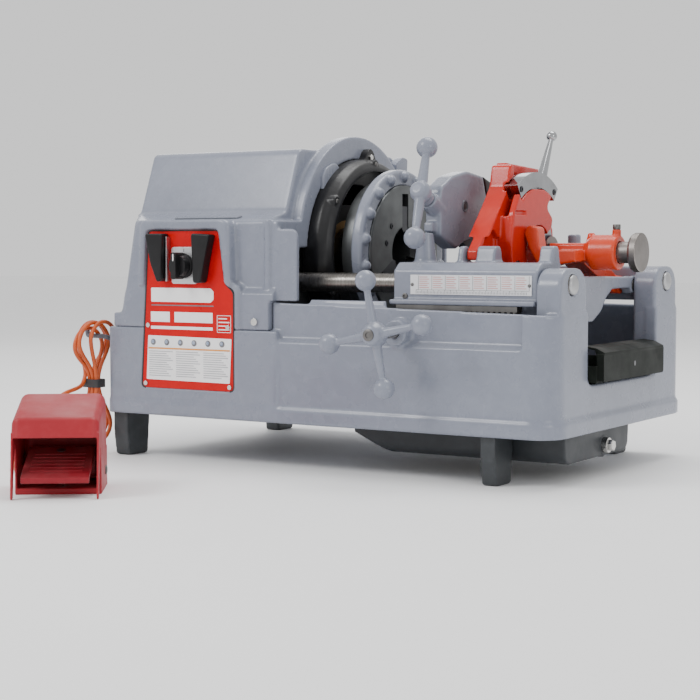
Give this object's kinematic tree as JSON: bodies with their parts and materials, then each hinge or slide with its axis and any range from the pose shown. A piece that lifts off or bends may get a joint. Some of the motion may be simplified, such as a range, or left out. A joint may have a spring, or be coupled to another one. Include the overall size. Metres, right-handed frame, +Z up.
{
  "type": "pipe threading machine",
  "caption": "Bench pipe threading machine with a hand-tightened chuck, a sliding carriage with swing-up cutter, die head and reamer, and a corded foot switch.",
  "frame": {"origin": "centre of the four stand bolt holes, on the plane of the foot soles", "axes": "+X from the drive end to the carriage end along the spindle, -Y towards the operator, +Z up"},
  "size_m": [0.9247, 0.9979, 0.55],
  "materials": {
    "grey_casting": "satin grey enamel on cast aluminium",
    "inner_casting": "as cast",
    "dark_steel": "oiled dark steel",
    "black_paint": "semi gloss black",
    "tank_paint": "charcoal enamel",
    "machined_steel": "turned and ground",
    "bronze": "bearing bronze",
    "motor_paint": "black enamel",
    "chrome_lever": "polished chrome",
    "orange_casting": "gloss orange red enamel",
    "reamer_orange": "gloss orange enamel",
    "red_label": "gloss red enamel plate",
    "switch_plate": "brushed plate with black guards",
    "black_plastic": "moulded",
    "scale_plate": "printed scale",
    "cord_jacket": "orange rubber jacket",
    "foot_switch_red": "dusty red enamel",
    "pedal_red": "crimson enamel"
  },
  "bodies": {
    "machine": {"base_casting": "grey_casting", "stand_feet": "grey_casting", "hood": "grey_casting", "hood_screws": "machined_steel", "headstock_frame": "inner_casting", "spindle_bearings": "bronze", "carriage_rails": "machined_steel", "chuck_shroud": "black_paint", "drive_motor": "motor_paint", "oil_pump": "inner_casting", "control_plate": "red_label", "switch_bezel": "switch_plate", "oil_tank": "tank_paint", "drain_plug": "machined_steel", "cord_fittings": "black_plastic", "foot_cord_hank": "cord_jacket", "foot_cord_lead": "cord_jacket", "foot_cord_run": "cord_jacket", "foot_switch_guard": "foot_switch_red", "pedal_pin": "machined_steel", "pedal_spring": "machined_steel"},
    "spindle": {"spindle_tube": "dark_steel", "spindle_gear": "machined_steel", "chuck_body": "dark_steel", "rear_chuck_body": "dark_steel"},
    "chuck_wheel": {"chuck_wheel": "grey_casting"},
    "rear_wheel": {"rear_wheel": "black_paint"},
    "idler": {"idler_gear": "machined_steel"},
    "rotor": {"motor_rotor": "machined_steel"},
    "pump": {"pump_gear": "machined_steel"},
    "carriage": {"carriage_casting": "grey_casting", "tool_pivot_rod": "dark_steel", "scale_plate": "scale_plate", "feed_rack": "dark_steel"},
    "feed_wheel": {"feed_handwheel": "grey_casting", "feed_pinion": "machined_steel"},
    "cutter": {"cutter_frame": "grey_casting", "cutter_roller_arm": "black_paint"},
    "roller_1": {"cutter_roller_1": "machined_steel"},
    "roller_2": {"cutter_roller_2": "machined_steel"},
    "cutter_slide": {"cutter_slide": "dark_steel"},
    "cutter_wheel": {"cutter_wheel": "machined_steel"},
    "feed_screw": {"cutter_feed_screw": "grey_casting"},
    "die_head": {"die_head_body": "orange_casting"},
    "lever": {"throwout_lever": "chrome_lever"},
    "reamer": {"reamer_arm": "reamer_orange"},
    "reamer_bar": {"reamer_bar": "machined_steel"},
    "selector": {"selector_knob": "black_plastic"},
    "tray": {"chip_tray": "black_paint"},
    "pedal": {"foot_pedal": "pedal_red"},
    "front_jaw_1": {"front_jaw_1": "machined_steel"},
    "rear_jaw_1": {"rear_jaw_1": "machined_steel"},
    "front_jaw_2": {"front_jaw_2": "machined_steel"},
    "rear_jaw_2": {"rear_jaw_2": "machined_steel"},
    "front_jaw_3": {"front_jaw_3": "machined_steel"},
    "rear_jaw_3": {"rear_jaw_3": "machined_steel"},
    "die_1": {"thread_die_1": "machined_steel"},
    "die_2": {"thread_die_2": "machined_steel"},
    "die_3": {"thread_die_3": "machined_steel"},
    "die_4": {"thread_die_4": "machined_steel"}
  },
  "joints": [
    {"name": "spindle_spin", "type": "hinge", "parent": "machine", "child": "spindle", "pos_m": [0, 0, 0.348], "axis": [1, 0, 0], "continuous": true},
    {"name": "chuck_wheel_turn", "type": "hinge", "parent": "spindle", "child": "chuck_wheel", "pos_m": [0.05, 0, 0.348], "axis": [1, 0, 0], "range_deg": [0, 92]},
    {"name": "rear_wheel_turn", "type": "hinge", "parent": "spindle", "child": "rear_wheel", "pos_m": [-0.404, 0, 0.348], "axis": [1, 0, 0], "range_deg": [0, 92]},
    {"name": "front_jaw_1_slide", "type": "slide", "parent": "spindle", "child": "front_jaw_1", "axis": [0, 0, -1], "range_m": [0, 0.0222]},
    {"name": "rear_jaw_1_slide", "type": "slide", "parent": "spindle", "child": "rear_jaw_1", "axis": [0, 0, -1], "range_m": [0, 0.0142]},
    {"name": "front_jaw_2_slide", "type": "slide", "parent": "spindle", "child": "front_jaw_2", "axis": [0, 0.866, 0.5], "range_m": [0, 0.0222]},
    {"name": "rear_jaw_2_slide", "type": "slide", "parent": "spindle", "child": "rear_jaw_2", "axis": [0, 0.866, 0.5], "range_m": [0, 0.0142]},
    {"name": "front_jaw_3_slide", "type": "slide", "parent": "spindle", "child": "front_jaw_3", "axis": [0, -0.866, 0.5], "range_m": [0, 0.0222]},
    {"name": "rear_jaw_3_slide", "type": "slide", "parent": "spindle", "child": "rear_jaw_3", "axis": [0, -0.866, 0.5], "range_m": [0, 0.0142]},
    {"name": "idler_spin", "type": "hinge", "parent": "machine", "child": "idler", "pos_m": [-0.1, 0.14489, 0.30918], "axis": [1, 0, 0], "continuous": true},
    {"name": "motor_spin", "type": "hinge", "parent": "machine", "child": "rotor", "pos_m": [-0.2, 0.17054, 0.2387], "axis": [1, 0, 0], "continuous": true},
    {"name": "pump_spin", "type": "hinge", "parent": "machine", "child": "pump", "pos_m": [-0.1, -0.14489, 0.30918], "axis": [1, 0, 0], "continuous": true},
    {"name": "carriage_slide", "type": "slide", "parent": "machine", "child": "carriage", "axis": [1, 0, 0], "range_m": [-0.09, 0]},
    {"name": "feed_wheel_turn", "type": "hinge", "parent": "machine", "child": "feed_wheel", "pos_m": [0.199, -0.33, 0.226], "axis": [0, 1, 0], "range_deg": [-172.2, 0.2]},
    {"name": "cutter_swing", "type": "hinge", "parent": "carriage", "child": "cutter", "pos_m": [0.194, 0.148, 0.294], "axis": [1, 0, 0], "range_deg": [-62, 0]},
    {"name": "roller_1_spin", "type": "hinge", "parent": "cutter", "child": "roller_1", "pos_m": [0.194, 0.04157, 0.35684], "axis": [1, 0, 0], "continuous": true},
    {"name": "roller_2_spin", "type": "hinge", "parent": "cutter", "child": "roller_2", "pos_m": [0.194, 0.03349, 0.32183], "axis": [1, 0, 0], "continuous": true},
    {"name": "cutter_feed", "type": "slide", "parent": "cutter", "child": "cutter_slide", "axis": [0, 0.8895, -0.4569], "range_m": [-0.0262, 0]},
    {"name": "feed_screw_turn", "type": "hinge", "parent": "cutter", "child": "feed_screw", "pos_m": [0.194, -0.183, 0.442], "axis": [0, 0.8895, -0.4569], "range_deg": [-1172, 0]},
    {"name": "cutter_wheel_spin", "type": "hinge", "parent": "cutter_slide", "child": "cutter_wheel", "pos_m": [0.194, -0.02313, 0.35988], "axis": [1, 0, 0], "continuous": true},
    {"name": "die_head_swing", "type": "hinge", "parent": "carriage", "child": "die_head", "pos_m": [0.273, 0.148, 0.294], "axis": [1, 0, 0], "range_deg": [-62, 0]},
    {"name": "throwout_turn", "type": "hinge", "parent": "die_head", "child": "lever", "pos_m": [0.297, 0, 0.348], "axis": [1, 0, 0], "range_deg": [-22, 0]},
    {"name": "die_1_slide", "type": "slide", "parent": "die_head", "child": "die_1", "axis": [0, -0.7071, 0.7071], "range_m": [0, 0.0031]},
    {"name": "die_2_slide", "type": "slide", "parent": "die_head", "child": "die_2", "axis": [0, -0.7071, -0.7071], "range_m": [0, 0.0031]},
    {"name": "die_3_slide", "type": "slide", "parent": "die_head", "child": "die_3", "axis": [0, 0.7071, -0.7071], "range_m": [0, 0.0031]},
    {"name": "die_4_slide", "type": "slide", "parent": "die_head", "child": "die_4", "axis": [0, 0.7071, 0.7071], "range_m": [0, 0.0031]},
    {"name": "reamer_swing", "type": "hinge", "parent": "carriage", "child": "reamer", "pos_m": [0.365, 0.148, 0.294], "axis": [1, 0, 0], "range_deg": [-62, 0]},
    {"name": "reamer_bar_slide", "type": "slide", "parent": "reamer", "child": "reamer_bar", "axis": [1, 0, 0], "range_m": [-0.02, 0]},
    {"name": "selector_turn", "type": "hinge", "parent": "machine", "child": "selector", "pos_m": [-0.206, -0.29, 0.326], "axis": [0, -1, 0], "range_deg": [-45, 45]},
    {"name": "tray_slide", "type": "slide", "parent": "machine", "child": "tray", "axis": [1, 0, 0], "range_m": [0, 0.26]},
    {"name": "pedal_press", "type": "hinge", "parent": "machine", "child": "pedal", "pos_m": [-0.18106, -0.59406, 0.026], "axis": [0.809, 0.5878, 0], "range_deg": [0, 7], "stiffness_Nm_per_rad": 3, "springref_deg": -14.32, "deforming": ["pedal_spring"]}
  ],
  "couplings": [
    {"joint": "front_jaw_1_slide", "follows": "chuck_wheel_turn", "m_per_rad": 0.0137},
    {"joint": "rear_jaw_1_slide", "follows": "rear_wheel_turn", "m_per_rad": 0.0087},
    {"joint": "front_jaw_2_slide", "follows": "chuck_wheel_turn", "m_per_rad": 0.0137},
    {"joint": "rear_jaw_2_slide", "follows": "rear_wheel_turn", "m_per_rad": 0.0087},
    {"joint": "front_jaw_3_slide", "follows": "chuck_wheel_turn", "m_per_rad": 0.0137},
    {"joint": "rear_jaw_3_slide", "follows": "rear_wheel_turn", "m_per_rad": 0.0087},
    {"joint": "idler_spin", "follows": "spindle_spin", "ratio": -4},
    {"joint": "motor_spin", "follows": "spindle_spin", "ratio": 16},
    {"joint": "pump_spin", "follows": "spindle_spin", "ratio": -4},
    {"joint": "feed_wheel_turn", "follows": "carriage_slide", "rad_per_m": 33.333},
    {"joint": "cutter_feed", "follows": "feed_screw_turn", "m_per_rad": 0.0012732},
    {"joint": "die_1_slide", "follows": "throwout_turn", "m_per_rad": -0.0078},
    {"joint": "die_2_slide", "follows": "throwout_turn", "m_per_rad": -0.0078},
    {"joint": "die_3_slide", "follows": "throwout_turn", "m_per_rad": -0.0078},
    {"joint": "die_4_slide", "follows": "throwout_turn", "m_per_rad": -0.0078}
  ]
}
